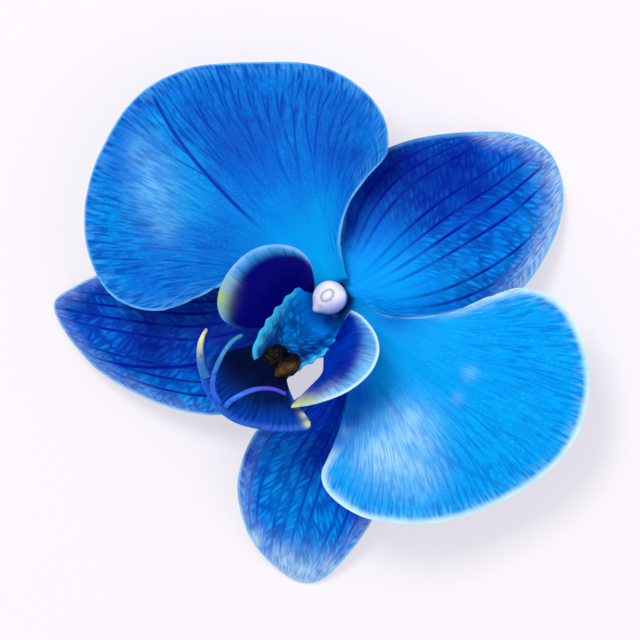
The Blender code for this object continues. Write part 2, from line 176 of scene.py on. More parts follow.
# a living sheet: forking veins, streaks between them, a net, soft patches, a fringe and a rim, with
# painted shade, painted light and a painted highlight on the rim
def bladeSkin(name, look):
    skin, shader, space = newSkin(name)
    along, across = sheetWay()
    spread, rimGap, paintedShade, warm = [painted(label) for label in ("spread", "rim", "paintedShade", "warm")]

    def fan(long, wide):
        inputs = {0: times(along, long), 1: times(across, wide)}
        return addNode("CombineXYZ", inputs).outputs[0]

    uneven = speckle(space, fineness["uneven"])
    mottle = speckle(space, fineness["mottle"])
    veins, width = look["veins"], look["veinWidth"]
    sway = times(calc("SINE", times(along, wanderTurns)), wanderSize, along)
    count = times(calc("ADD", across, sway), veins)
    near = calc("DIVIDE", apart(calc("FRACT", count), 0.5), veins)
    for level, (start, end) in enumerate(look["forks"]):
        near = apart(near, ramp(along, start, end, 0.0, 0.25 / (veins * 2 ** level)))
    number = calc("ADD", calc("FLOOR", count), look["veinSeed"])
    chance = addNode("TexWhiteNoise", {"W": number}, noise_dimensions="1D").outputs[0]
    line = times(ramp(times(near, spread), width * 0.3, width, look["veinDepth"], 0.0),
                 ramp(uneven, 0.34, 0.6, look["veinFloor"], 1.0),
                 ramp(along, 0.05, look["veinFrom"]),
                 ramp(chance, 0.1, 0.6, look["veinLeast"], 1.0))
    # a dark line along a fold: painted shade of the fold, partly a darker midrib
    start, slope = look["creaseLine"]
    middle = times(apart(across, calc("ADD", times(along, slope), start)), spread)
    width = look["creaseWidth"]
    creaseShade = times(ramp(middle, width * 0.25, width, look["creaseShade"], 0.0),
                   ramp(along, 0.22, 0.42), ramp(along, 1.0, 0.92))

    long, wide = look["streakLong"], look["streakAcross"]
    streak = speckle(fan(long, wide), 1.0, 3.0, 0.6)
    thread = speckle(fan(long * 1.7, wide * 1.7), 1.0, 1.0)
    dark = calc("MAXIMUM", ramp(streak, 0.47, 0.63), times(ramp(thread, 0.46, 0.64), 0.8))
    outer = ramp(along, 0.12, 0.75)
    dark = times(dark, outer, look["streaks"], ramp(mottle, 0.36, 0.6, 0.35, 1.0))

    stir = addNode("TexNoise", {"Vector": space, "Scale": fineness["stir"]}).outputs[1]
    stir = addNode("VectorMath", {0: stir, 3: look["netStir"]}, operation="SCALE").outputs[0]
    side = apart(across, 0.5)
    slanted = calc("SUBTRACT", along, times(side, look["netSlant"]))
    inputs = {0: times(slanted, look["netLong"]), 1: times(across, look["netAcross"])}
    cells = addNode("CombineXYZ", inputs).outputs[0]
    cells = addNode("VectorMath", {0: cells, 1: stir}).outputs[0]
    inputs = {"Vector": cells, "Scale": 1.0}
    edge = addNode("TexVoronoi", inputs, feature="DISTANCE_TO_EDGE").outputs[0]
    net = times(ramp(edge, 0.03, look["netWide"], look["net"], 0.0), ramp(along, *look["netFrom"]),
                ramp(mottle, 0.66, 0.42, look["netLeast"], 1.0))
    lines = calc("MAXIMUM", line, creaseShade, dark, net)

    # near the sides the fringe runs across, near the far rim along
    hatch = addNode("Mix", {
        0: times(ramp(side, 0.4, 0.47), ramp(along, 0.97, 0.85)),
        2: thread, 3: speckle(fan(look["fringeLong"], 7.0), 1.0)}).outputs[0]
    border = ramp(rimGap, 0.2, look["fringe"], 1.0, 0.0)
    fringe = times(border, ramp(hatch, 0.6, 0.36, look["fringeFloor"], 1.0), look["fringeLight"],
                   ramp(along, 0.45, 0.8), ramp(paintedShade, 0.1, 0.6, 1.0, 0.0))
    lines = calc("MAXIMUM", lines, times(border, ramp(hatch, 0.42, 0.64), look["fringeDark"]))
    patches = ramp(speckle(space, fineness["patches"], 3.0), 0.4, 0.7)
    # pale blots: painted highlights on the petals' bulges, the lip floor's crest and the lobes'
    # rims, and paler tips on the sepals
    paleAndHighlight = times(painted("pale"), ramp(thread, 0.62, 0.4, 0.5, 1.0),
                   ramp(mottle, 0.3, 0.6, 0.6, 1.0))
    # the rim colour is a painted highlight along the lit edge, partly a paler margin; it fades
    # under painted shade
    rim = times(ramp(rimGap, 0.1, look["rimWidth"], 1.0, 0.0),
                ramp(uneven, 0.3, 0.7, look["rimFloor"], 1.0), ramp(along, *look["rimFrom"]),
                ramp(paintedShade, 0.2, 0.8, 1.0, look["rimUnderShade"]), ramp(warm, 0.1, 0.7, 1.0, 0.0))

    # each layer's colour goes over those before it
    layers = [
        ("margin", ramp(along, look["marginFrom"], 1.0)),
        # painted light: the lit blots brighten to the heart colour
        ("heart", painted("paintedLight")),
        ("cell", times(patches, look["glow"], ramp(streak, 0.52, 0.34, 0.4, 1.0))),
        # painted shade: the dark blots pull the colour towards the shade colour
        ("shade", times(paintedShade, 0.9)),
        ("vein", lines),
        ("pale", calc("MAXIMUM", paleAndHighlight, fringe)),
        ("warm", warm),
        ("rim", rim),
        # painted shade: a thin dark line at the root, where the sheet meets the column
        ("root", ramp(along, look["rootShade"], 0.0, 0.0, 0.85)),
    ]
    reach = ramp(along, 0.0, look["heartReach"])
    colour = tint(reach, look["heart"], look["middle"])
    for label, share in layers:
        colour = tint(share, colour, look[label])

    grain = speckle(space, fineness["grain"], 1.0)
    roughness = ramp(grain, 0.3, 0.7, look["rough"] - 0.06, look["rough"] + 0.08)
    height = calc("SUBTRACT", times(grain, 0.25), times(lines, 0.7))
    finishSkin(shader, colour, roughness, height, look["bump"], look["specular"])
    return skin


def deselectAll():
    if bpy.context.object and bpy.context.object.mode != "OBJECT":
        bpy.ops.object.mode_set(mode="OBJECT")
    bpy.ops.object.select_all(action="DESELECT")


# only these pieces are selected, and the first is the active one
def pick(*pieces):
    deselectAll()
    for piece in pieces:
        piece.select_set(True)
    bpy.context.view_layer.objects.active = pieces[0]


def finishModifier(piece, kind, **settings):
    pick(piece)
    made = piece.modifiers.new(kind.lower(), kind)
    for key, value in settings.items():
        setattr(made, key, value)
    bpy.ops.object.modifier_apply(modifier=made.name)


def editAll(piece, step):
    pick(piece)
    bpy.ops.object.mode_set(mode="EDIT")
    bpy.ops.mesh.select_all(action="SELECT")
    step()
    bpy.ops.object.mode_set(mode="OBJECT")


def weld():
    bpy.ops.mesh.remove_doubles(threshold=0.002 * mm)
    bpy.ops.mesh.normals_make_consistent(inside=False)


def joinPieces(name, pieces):
    pick(*pieces)
    bpy.ops.object.join()
    pieces[0].name = pieces[0].data.name = name
    return pieces[0]


smoothAngle = math.radians(55.0)


def standFor(piece, node):
    pick(piece)
    bpy.ops.object.shade_smooth_by_angle(angle=smoothAngle)
    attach(piece, "root")
    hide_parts(node)
    print(piece.name, "stands for", node, "with", len(piece.data.polygons), "faces")


def smoothStep(value, start, end):
    share = min(max((value - start) / (end - start), 0.0), 1.0)
    return share * share * (3.0 - 2.0 * share)


# a bell that is 1 at nothing and fades over the width
def bell(value, width):
    return math.exp(-(value / width) ** 2)


# a point on a smooth line through the points, by the share of its length
def linePoint(points, share):
    points = [Vector(point) for point in points]
    spans = [(after - before).length for before, after in zip(points, points[1:])]
    left = min(max(share, 0.0), 1.0) * sum(spans)
    index = 0
    while index < len(spans) - 1 and left > spans[index]:
        left -= spans[index]
        index += 1
    part = min(left / spans[index], 1.0)
    before, start = points[max(index - 1, 0)], points[index]
    end, after = points[index + 1], points[min(index + 2, len(points) - 1)]
    return (start * 2 + (end - before) * part
            + (before * 2 - start * 5 + end * 4 - after) * part ** 2
            + (start * 3 - before - end * 3 + after) * part ** 3) * 0.5


# a grid laid so that x runs from the root to the rim and y from side to side, each 0 to 1
def layGrid(name, steps, place):
    deselectAll()
    bpy.ops.mesh.primitive_grid_add(x_subdivisions=steps[0], y_subdivisions=steps[1], size=1.0,
                                    calc_uvs=True)
    sheet = bpy.context.object
    sheet.name = sheet.data.name = name
    shares = [(vertex.co.x + 0.5, vertex.co.y + 0.5) for vertex in sheet.data.vertices]
    for vertex, (along, across) in zip(sheet.data.vertices, shares):
        vertex.co = heart + place(along, across) * mm
    return sheet, shares


def paint(piece, label, values):
    layer = piece.data.attributes.new(label, "FLOAT", "POINT")
    layer.data.foreach_set("value", values)


# what the skins read: how wide the sheet is, how near the rim, and the soft patches of painted
# shade, painted light, painted highlight and paler colour, each patch with its spot, its size and
# its strength
def paintSheet(sheet, shares, place, blots):
    steps = 300
    border = [place(index / steps, side) for index in range(steps + 1) for side in (0.0, 1.0)]
    border += [place(1.0, index / (2 * steps)) for index in range(2 * steps + 1)]
    finder = kdtree.KDTree(len(border))
    for index, point in enumerate(border):
        finder.insert(point, index)
    finder.balance()
    points = [place(along, across) for along, across in shares]
    rims = [finder.find(point)[2] for point in points]
    paint(sheet, "rim", rims)
    spreads = []
    for along, across in shares:
        low, high = max(across - 0.01, 0.0), min(across + 0.01, 1.0)
        spreads.append((place(along, high) - place(along, low)).length / (high - low))
    paint(sheet, "spread", spreads)
    for label in ("pale", "paintedShade", "warm", "paintedLight"):
        values = []
        for point in points:
            bare = 1.0
            for *spot, size, strength in blots.get(label, ()):
                away = ((point.xy if len(spot) == 2 else point) - Vector(spot)).length
                bare *= 1.0 - strength * bell(away, size)
            values.append(1.0 - bare)
        paint(sheet, label, values)
    return rims


# thin at its rim, with its back in the next material
def thicken(sheet, wall, rims, facing):
    group = sheet.vertex_groups.new(name="body")
    for index, rim in enumerate(rims):
        share = wall["thinRim"] + (1.0 - wall["thinRim"]) * smoothStep(rim, 0.0, wall["thinFrom"])
        group.add([index], share, "REPLACE")
    total = sum((face.normal * face.area for face in sheet.data.polygons), Vector())
    if total.dot(Vector(facing)) < 0:
        editAll(sheet, bpy.ops.mesh.flip_normals)
    finishModifier(sheet, "SOLIDIFY", thickness=wall["thickness"] * mm, offset=0.0,
                   vertex_group="body", material_offset=1, material_offset_rim=0)
    sheet.vertex_groups.clear()


# a painted sheet between a skin for its face and one for its back
def growSheet(shape, place, skins, wall, facing=(0, 0, 1)):
    sheet, shares = layGrid(shape["name"], shape["steps"], place)
    rims = paintSheet(sheet, shares, place, shape["blots"])
    for skin in skins:
        sheet.data.materials.append(skin)
    thicken(sheet, wall, rims, facing)
    return sheet


def keepOffGround(piece):
    for vertex in piece.data.vertices:
        vertex.co.z = max(vertex.co.z, heart.z + restZ * mm)


# how far the nearest forking vein is, in mm
def veinGap(look, along, across, spread):
    across += wanderSize * along * math.sin(along * wanderTurns)
    near = abs((across * look["veins"]) % 1.0 - 0.5) / look["veins"]
    for level, (start, end) in enumerate(look["forks"]):
        near = abs(near - smoothStep(along, start, end) * 0.25 / (look["veins"] * 2 ** level))
    return near * spread


# a flat map between four sides: its veins run from the root to the rim
def patchOf(shape):
    root = [Vector((*point, 0.0)) for point in shape["root"]]
    line = [root[0], *[Vector((*point, 0.0)) for point in shape["outline"]], root[1]]
    spans = [(after - before).length for before, after in zip(line, line[1:])]
    first, last = [sum(spans[:number + 1]) / sum(spans) for number in shape["corners"]]

    @cache
    def border(share):
        return linePoint(line, share)

    @cache
    def patch(along, across):
        stem = root[0].lerp(root[1], across) * (1.0 - along)
        outward = stem + border(first + (last - first) * across) * along
        sideward = border(first * along).lerp(border(1.0 - (1.0 - last) * along), across)
        return outward + sideward - stem - border(first).lerp(border(last), across) * along

    return patch


# petal colours: shade and root colour the painted shade, rim a painted highlight along the edge,
# partly a paler margin
petalSkin = {
    "heart": (0, 168, 240), "middle": (0, 108, 214), "margin": (0, 122, 220), "cell": (2, 154, 238),
    "vein": (0, 40, 158), "shade": (0, 20, 124), "pale": (110, 196, 248), "rim": (110, 195, 240),
    "warm": (190, 200, 60), "veins": 9, "forks": ((0.22, 0.5), (0.42, 0.72), (0.62, 0.92)),
    "veinWidth": 0.3, "veinDepth": 0.75, "veinFloor": 0.3, "veinFrom": 0.72, "veinLeast": 0.55,
    "veinSeed": 0.5, "creaseShade": 0.95, "creaseLine": (0.41, 0.114), "creaseWidth": 0.6,
    "rootShade": 0.04, "heartReach": 0.5, "marginFrom": 0.55, "streaks": 0.7, "streakLong": 7,
    "streakAcross": 96, "net": 0.3, "netLong": 46, "netAcross": 60, "netSlant": 0.3, "netWide": 0.3,
    "netStir": 1, "netLeast": 0.3, "netFrom": (0.12, 0.4), "glow": 0.75, "fringe": 4,
    "fringeLong": 60, "fringeLight": 0.22, "fringeFloor": 0, "fringeDark": 0.5, "rimWidth": 0.55,
    "rimFloor": 0.35, "rimFrom": (0.08, 0.3), "rimUnderShade": 0, "rough": 0.5, "root": (0, 18, 96),
    "bump": 0.12, "specular": 0.035,
}
# painted light: the right petal, lit more, gets brighter colours than the left, and a wide rim as a
# painted highlight
litPetalSkin = {
    **petalSkin, "heart": (0, 156, 230), "middle": (0, 168, 246), "margin": (0, 166, 248),
    "cell": (14, 184, 252), "vein": (0, 88, 200), "shade": (0, 76, 192), "pale": (180, 228, 252),
    "rim": (200, 242, 246), "rimWidth": 1.5, "rimFloor": 0.75, "rimFrom": (0.3, 0.95),
    "streaks": 0.6, "veinDepth": 0.6, "creaseShade": 0.5, "creaseLine": (0.83, -0.3), "creaseWidth": 1,
    "fringe": 3.5, "fringeLight": 0.3,
}
petalBack = {
    **petalSkin, "heart": (20, 140, 220), "middle": (26, 122, 212), "margin": (30, 118, 210),
    "cell": (50, 150, 225), "vein": (10, 70, 180), "streaks": 0.5, "net": 0.15, "glow": 0.5,
    "rough": 0.56,
}
# sepal colours: shade and crease are painted shade, rim a painted highlight along the edge, partly
# a paler margin
sepalSkin = {
    **petalSkin, "heart": (0, 160, 246), "middle": (0, 106, 232), "margin": (2, 110, 236),
    "cell": (8, 156, 254), "vein": (0, 14, 138), "shade": (0, 8, 122), "pale": (172, 208, 248),
    "rim": (150, 205, 242), "veins": 13, "forks": (), "veinWidth": 0.55, "veinDepth": 0.97,
    "veinFloor": 0.75, "veinFrom": 0.36, "veinLeast": 0.35, "creaseShade": 0.6, "creaseLine": (0.5, 0),
    "creaseWidth": 0.4, "streaks": 0.3, "streakLong": 12, "streakAcross": 44, "net": 0.68,
    "netLong": 44, "netAcross": 14, "netSlant": 0.7, "netWide": 0.42, "netStir": 0.8,
    "netLeast": 0.6, "glow": 0.95, "fringe": 5, "fringeLight": 0.5, "fringeFloor": 0.35,
    "fringeDark": 0.6, "rimWidth": 0.6, "rimFloor": 0.45,
}
sepalBack = {
    **sepalSkin, "heart": (20, 120, 205), "middle": (24, 92, 195), "margin": (40, 104, 205),
    "cell": (50, 136, 220), "vein": (8, 44, 146), "net": 0.4, "rough": 0.56,
}

leftPetal = {
    "name": "petalLeft", "node": "petal_left", "steps": (96, 176), "phase": 0.4,
    "root": ((-4.3, -4.2), (-2.6, 1.7)),
    "outline": [
        (-7.6, -4.6), (-12, -8.6), (-15.6, -14.4), (-17, -20.4), (-19.8, -27.4), (-25.4, -31.4),
        (-31.6, -31.9), (-39.2, -29), (-46, -22.7), (-50.8, -13.4), (-52.6, -4.3), (-50.2, 4.8),
        (-44, 13.3), (-35.8, 21.8), (-27.6, 25.2), (-20.2, 24.9), (-15.2, 21.3), (-13.9, 15.2),
        (-12.2, 9.8), (-8.3, 4.6),
    ],
    "corners": (3, 16),
    # pale blots: painted highlight on the bulge, partly paler dye; lit blots: painted light; dark
    # blots: painted shade
    "blots": {
        "pale": [
            (-45, -11.5, 3.4, 0.35), (-40, -13, 3.8, 0.6), (-36, -15, 3.8, 0.6),
            (-31, -17, 3.4, 0.45),
        ],
        "paintedLight": [
            (-46, -5.5, 3.2, 0.7), (-38, -7, 3.6, 0.8), (-31, -10.5, 5, 0.8), (-39.5, -23, 5, 0.4),
            (-15, 6, 4, 0.4),
        ],
        "paintedShade": [
            (-18.5, 16.5, 5, 0.35), (-33, 12, 6, 0.25), (-34, 2, 5, 0.35), (-43, 2.5, 4.5, 0.3),
            (-25.5, 21, 5, 0.25),
        ],
    },
}
rightPetal = {
    "name": "petalRight", "node": "petal_right", "steps": (96, 176), "phase": 1.9,
    "root": ((0.5, 0.5), (1.6, -4.1)),
    "outline": [
        (6.1, 2.1), (10.9, 6.6), (14.2, 12.2), (16, 18.2), (19, 24.6), (25, 27.6), (33.4, 25.8),
        (40.4, 20.8), (44.8, 13.5), (45.8, 5), (43.8, -5.6), (39.6, -14.8), (32.4, -22.3),
        (25.4, -24.9), (20.8, -23.6), (19, -17.6), (15.8, -11.8), (12, -8), (7.6, -4.6),
    ],
    "corners": (3, 15),
    # pale blots: painted highlight on the bulge, partly paler dye; dark blots: painted shade by the
    # lip's side lobe and at the root
    "blots": {
        "pale": [
            (25, -7, 4, 0.85), (25.5, -13.5, 4.6, 0.7), (31, -11, 4.5, 0.45),
            (24.2, 7.5, 1.2, 0.25), (26.2, 3, 1, 0.2),
        ],
        "paintedShade": [
            (15.5, -9.5, 3.6, 0.65), (17, -13.4, 2.4, 0.9), (18.8, -17.5, 2.6, 0.7),
            (9.5, -5.5, 3, 0.5), (14.6, -10.6, 2.2, 0.9), (2, -4, 1.6, 0.9), (8, 4.2, 3.6, 0.55),
        ],
    },
}
upperSepal = {
    "name": "sepalUpper", "node": "sepal_upper", "steps": (96, 130),
    "root": ((2.4, -0.2), (-4.8, 0.6)),
    "outline": [
        (9.4, 5.2), (14.8, 11.4), (17.4, 18.6), (17, 27), (13.2, 35.8), (7.8, 41.6), (1, 44),
        (-5.2, 41.4), (-11.5, 33.5), (-16, 25.4), (-17.4, 18.2), (-15, 11.4), (-9.6, 5.4),
    ],
    "corners": (4, 8), "tip": (1, 44),
    # dark blots: painted shadow cast by the left petal; lit blots: painted light on the lower half;
    # pale: a paler tip and edge
    "blots": {
        "paintedShade": [
            (-10.5, 8, 3.8, 0.85), (-13.5, 15.5, 5.5, 0.9), (-12, 23, 6.5, 0.9),
            (-7.5, 30.5, 6, 0.8), (-5, 21, 6.5, 0.55), (0, 29, 5, 0.4),
        ],
        "paintedLight": [
            (3, 8, 6.5, 0.9), (9.5, 16, 6.5, 0.85), (13.5, 24, 5.5, 0.75), (11, 32.5, 5, 0.6),
            (3, 39, 4, 0.55),
        ],
        "pale": [
            (0, 43.6, 2.6, 0.6), (6, 42.4, 2.8, 0.8), (11.8, 38, 2.8, 0.8), (15.6, 32, 2.2, 0.65),
            (17, 26, 1.6, 0.5),
        ],
    },
}
leftSepal = {
    "name": "sepalLowerLeft", "node": "sepal_lower_left", "steps": (110, 130),
    "root": ((-4.9, -1.9), (-1.5, -4.2)),
    "outline": [
        (-9.4, -2.8), (-17.8, -9), (-26, -18.4), (-32.2, -28.4), (-35.2, -36.2), (-35.6, -41.2),
        (-30.6, -42.9), (-21.6, -42.8), (-12.6, -40.1), (-4.9, -35.8), (0.8, -30.2), (3.2, -22),
        (3.2, -13.2), (1.6, -6.4),
    ],
    "corners": (3, 7), "tip": (-35.6, -41.2),
    # dark blots: painted shade under the left petal and beside the lip; lit blots: painted light
    # along the lower edge; pale: a paler tip
    "blots": {
        "pale": [(-35.6, -40.6, 1.6, 0.4), (-35.2, -37.2, 1.8, 0.6), (-33.6, -32.6, 1.3, 0.4)],
        "paintedShade": [
            (-31, -36.5, 4, 0.65), (-22.5, -29, 5, 0.3), (-17, -32.5, 5, 0.85), (-13, -22, 6, 0.85),
            (-6.6, -17.5, 5.5, 0.95),
        ],
        "paintedLight": [
            (-22, -41.2, 3, 0.6), (-13, -38.5, 3.6, 0.7), (-6, -34.6, 3.6, 0.8),
            (-2, -30, 3.6, 0.6),
        ],
    },
}
rightSepal = {
    "name": "sepalLowerRight", "node": "sepal_lower_right", "steps": (110, 130),
    "root": ((-0.6, -4.1), (2.3, -1.9)),
    "outline": [
        (4.8, -7), (7.3, -14), (7, -21), (6.9, -28.4), (11.4, -36.4), (19.2, -40.7), (26.4, -40.9),
        (32, -38.8), (33.8, -33.6), (31.6, -22), (25, -13), (16.4, -6.2), (9, -2.2),
    ],
    "corners": (5, 8), "tip": (32, -38.8),
    # pale: a paler tip; lit blots: painted light where the petals shade the sepal; dark blots:
    # painted shade under the right petal and the lip
    "blots": {
        "pale": [
            (31.8, -38.2, 3.8, 0.97), (26.6, -40.6, 3.2, 0.97), (33.4, -33, 2.2, 0.85),
            (20.6, -41, 2.2, 0.9), (15, -39, 1.6, 0.6),
        ],
        "paintedLight": [
            (29.5, -37, 4.5, 0.9), (12, -27, 4.5, 0.7), (15, -33, 4.5, 0.8), (20, -30, 6, 0.9),
            (22, -36, 4.5, 0.7), (27, -30, 5, 0.8),
        ],
        "paintedShade": [(12, -13, 6, 0.9), (17.5, -18.5, 5, 0.7), (8.5, -32, 2.6, 0.5)],
    },
}
blade = {
    "thickness": 0.58, "thinRim": 0.4, "thinFrom": 5.0,
    "groove": 0.07, "grooveWidth": 0.3, "midrib": 0.55, "midribWidth": 0.06,
}
petalDome = {
    "height": 2.4, "rise": 3.4, "reach": 47.0, "droop": 1.9,
    "wave": 0.7, "waves": 5.0, "ripple": 0.16, "ripples": 27.0,
}
sepalDroop = {"height": 1.1, "above": 0.38, "power": 2.3, "trough": 1.5}


def veinRelief(skin, patch, along, across):
    low, high = max(across - 0.01, 0.0), min(across + 0.01, 1.0)
    gap = veinGap(skin, along, across, (patch(along, high) - patch(along, low)).length * 50)
    groove = bell(gap, blade["grooveWidth"]) * smoothStep(along, 0.1, 0.4)
    rib = bell(across - 0.5, blade["midribWidth"]) * math.sin(math.pi * along)
    return blade["groove"] * groove + blade["midrib"] * rib


def petalPlace(shape):
    patch = patchOf(shape)
    middle = patch(0.0, 0.5)
    dome, phase = petalDome, shape["phase"]
    waves, ripples = dome["waves"] * math.pi, dome["ripples"] * math.pi

    @cache
    def place(along, across):
        flat = patch(along, across)
        reach = (flat - middle).length / dome["reach"]
        z = dome["height"] + dome["rise"] * math.sin(math.pi * min(reach, 1.1))
        z -= dome["droop"] * reach ** 2
        z += dome["wave"] * along ** 4 * math.sin(waves * across + phase)
        z += dome["ripple"] * along ** 6 * math.sin(ripples * across + 2.0 * phase)
        return Vector((flat.x, flat.y, z - veinRelief(petalSkin, patch, along, across)))

    return place


def sepalPlace(shape):
    patch = patchOf(shape)
    middle = patch(0.0, 0.5)
    length = (Vector((*shape["tip"], 0.0)) - middle).length
    droop = sepalDroop
    fall = droop["height"] - restZ - droop["above"]

    @cache
    def place(along, across):
        flat = patch(along, across)
        reach = (flat - middle).length / length
        z = droop["height"] - fall * reach ** droop["power"]
        z -= (droop["trough"] * (2 * across - 1) ** 2 * math.sin(math.pi * min(along, 0.9))
              * (1 - 0.6 * reach))
        return Vector((flat.x, flat.y, z - veinRelief(sepalSkin, patch, along, across)))

    return place


def growTepal(shape, place, skin, under):
    face = bladeSkin(shape["name"] + "Face", skin)
    sheet = growSheet(shape, place, [face, under], blade)
    keepOffGround(sheet)
    standFor(sheet, shape["node"])


petalUnder = bladeSkin("petalBlueBack", petalBack)
for shape, skin in ((leftPetal, petalSkin), (rightPetal, litPetalSkin)):
    growTepal(shape, petalPlace(shape), skin, petalUnder)
sepalUnder = bladeSkin("sepalBlueBack", sepalBack)
# a darker shade colour for the painted shade beside the lip
lowerLeftLook = {
    "shade": (0, 6, 92), "pale": (156, 190, 246), "net": 0.74, "netLong": 39, "creaseShade": 0.95,
    "creaseLine": (0.54, 0.31), "creaseWidth": 0.7, "fringeLight": 0.4, "fringe": 3.5,
}
# brighter middle, margin and cell colours: painted light that makes up for the petals' shadow
lowerRightLook = {
    "middle": (0, 100, 255), "margin": (4, 116, 255), "cell": (14, 170, 255), "vein": (0, 14, 156),
    "fringe": 4, "fringeLight": 0.3, "pale": (192, 234, 255), "netAcross": 12, "netLong": 38,
    "net": 0.68, "veinLeast": 0.2, "veinDepth": 0.8,
}
upperLook = {
    "rim": (104, 184, 240), "rimWidth": 1.1, "rimUnderShade": 0.6, "fringeLight": 0.75,
    "pale": (188, 226, 252), "veinFrom": 0.5, "netFrom": (0.2, 0.55), "veinWidth": 0.5,
}
sepalLooks = ((upperSepal, upperLook), (leftSepal, lowerLeftLook), (rightSepal, lowerRightLook))
for shape, change in sepalLooks:
    growTepal(shape, sepalPlace(shape), {**sepalSkin, **change}, sepalUnder)
print("petals and sepals grown")

# the lip: two side lobes that stand up, the floor between them, the mid lobe, the callus and tips
rightLobe = {
    "name": "lipLobeRight", "steps": (56, 84), "inward": -1, "bulge": 1.2, "facing": (-1, 0, 0.3),
    "root": [
        (3, -3.6, 5.2), (4.9, -7, 7), (5.4, -9.6, 7.8), (6.7, -10.7, 8.8), (8.4, -12.4, 10.2),
        (9.1, -16, 12.2), (9.4, -19.4, 13.2),
    ],
    "rim": [
        (2.6, -1.2, 7.4), (5.6, -0.5, 11.2), (9.6, -0.8, 14.2), (12.7, -2.6, 16.2),
        (14.4, -6.2, 16.9), (14.2, -11.2, 16.6), (12.2, -16.4, 15.2), (9.8, -20.2, 13.7),
    ],
    # warm: the lobe's own yellow-green; pale blots: painted highlight on the lit rim; dark blots:
    # painted shade low in the lobe
    "blots": {
        "warm": [
            (9.9, -19.4, 13.6, 2.2, 0.9), (11.4, -17.2, 14.8, 1.6, 0.6),
            (12.7, -15.6, 15.4, 1.2, 0.4),
        ],
        "pale": [(13.2, -13.5, 16, 2.6, 0.6), (14, -4.5, 16.6, 3, 0.4)],
        "paintedShade": [(4.6, -5.6, 7.6, 2, 0.7), (8.4, -12.6, 10.6, 1.6, 0.5)],
    },
    # a darker inside than outside: the lobe's blue with painted shade on its inner face; margin and
    # rim a painted highlight on the lit curled edge, partly a paler margin
    "inside": {
        "heart": (2, 44, 160), "middle": (0, 44, 172), "margin": (104, 200, 255),
        "cell": (8, 92, 212), "shade": (0, 12, 130), "rim": (205, 238, 252), "rimWidth": 0.75,
        "rimFloor": 0.8, "warm": (205, 220, 130), "marginFrom": 0.63, "glow": 0.7, "streaks": 0.5,
        "veinDepth": 0.5,
    },
}
leftLobe = {
    "name": "lipLobeLeft", "steps": (56, 90), "inward": 1, "bulge": 2.3, "facing": (1, 0, 0.3),
    "root": [(-2.9, -5.2, 5.9), (-3.2, -11.2, 8.3)],
    "rim": [
        (-6, -3, 8.4), (-8.4, -1.4, 12.7), (-11.5, -2.1, 15.6), (-14.3, -5.1, 16.7),
        (-15.6, -9, 16.9), (-15.1, -13.8, 16.6), (-13.2, -17.6, 15.6), (-10.4, -19.4, 14),
        (-7.4, -18.4, 11.8), (-5.2, -14.8, 8.8),
    ],
    # warm: the lobe's own yellow-green; pale blots: painted highlight on the lit rim; dark blots:
    # painted shade at the lobe's tucked lower end
    "blots": {
        "warm": [
            (-13.3, -17.5, 15.6, 1.9, 0.95), (-14.9, -14.6, 16.4, 1.6, 0.45),
            (-11.2, -19, 14.4, 1.5, 0.45),
        ],
        "pale": [
            (-15.8, -10.8, 17, 1.3, 0.6), (-15, -6.4, 16.8, 1.1, 0.45),
            (-12.6, -2.6, 16, 1.1, 0.45), (-13.8, -14.6, 15.9, 1.5, 0.5),
        ],
        "paintedShade": [(-8, -18.6, 12, 3, 0.95), (-5.2, -14.8, 8.8, 3.4, 0.95)],
    },
    # near black inside: the lip's navy with painted shade on the shaded inner face; margin and rim
    # a painted highlight on the lit top edge, partly a paler margin
    "inside": {
        "heart": (0, 2, 60), "middle": (0, 2, 108), "margin": (60, 176, 255), "cell": (2, 6, 134),
        "vein": (0, 0, 96), "rim": (132, 184, 242), "rimWidth": 0.8, "rimFloor": 0.6,
        "warm": (172, 196, 84), "pale": (170, 190, 240), "marginFrom": 0.84, "streaks": 0.3,
        "veinDepth": 0.5,
    },
}
lipSkin = {
    **sepalSkin, "vein": (3, 6, 78), "veins": 11, "forks": ((0.35, 0.8),), "veinWidth": 0.3,
    "veinDepth": 0.7, "veinFloor": 0.35, "veinFrom": 0.3, "veinLeast": 0.7, "creaseShade": 0, "net": 0.1,
    "streaks": 0.5, "streakLong": 2, "streakAcross": 30, "glow": 0.35, "heartReach": 0.4,
    "rootShade": 0.02, "fringe": 1.6, "fringeLight": 0.12, "fringeDark": 0.25, "rough": 0.42,
}
lobeOutside = {
    **lipSkin, "heart": (20, 90, 200), "middle": (30, 105, 215), "margin": (80, 150, 235),
    "cell": (60, 140, 230), "vein": (14, 50, 160), "rim": (190, 220, 250), "warm": (200, 210, 120),
}
lobe = {"thickness": 0.7, "thinRim": 0.4, "thinFrom": 3.0, "lean": 0.7, "power": 1.6}


def lobePlace(shape):
    @cache
    def line(side, share):
        return linePoint(shape[side], share)

    def place(along, across):
        share = across if shape["inward"] < 0 else 1.0 - across
        middle = max(math.sin(math.pi * share), 0.0) ** lobe["power"]
        bulge = shape["bulge"] * math.sin(math.pi * along ** lobe["power"]) * (0.15 + 0.85 * middle)
        point = line("root", share).lerp(line("rim", share), along)
        return point + Vector((shape["inward"] * lobe["lean"], 0.0, lobe["lean"])) * bulge

    return place


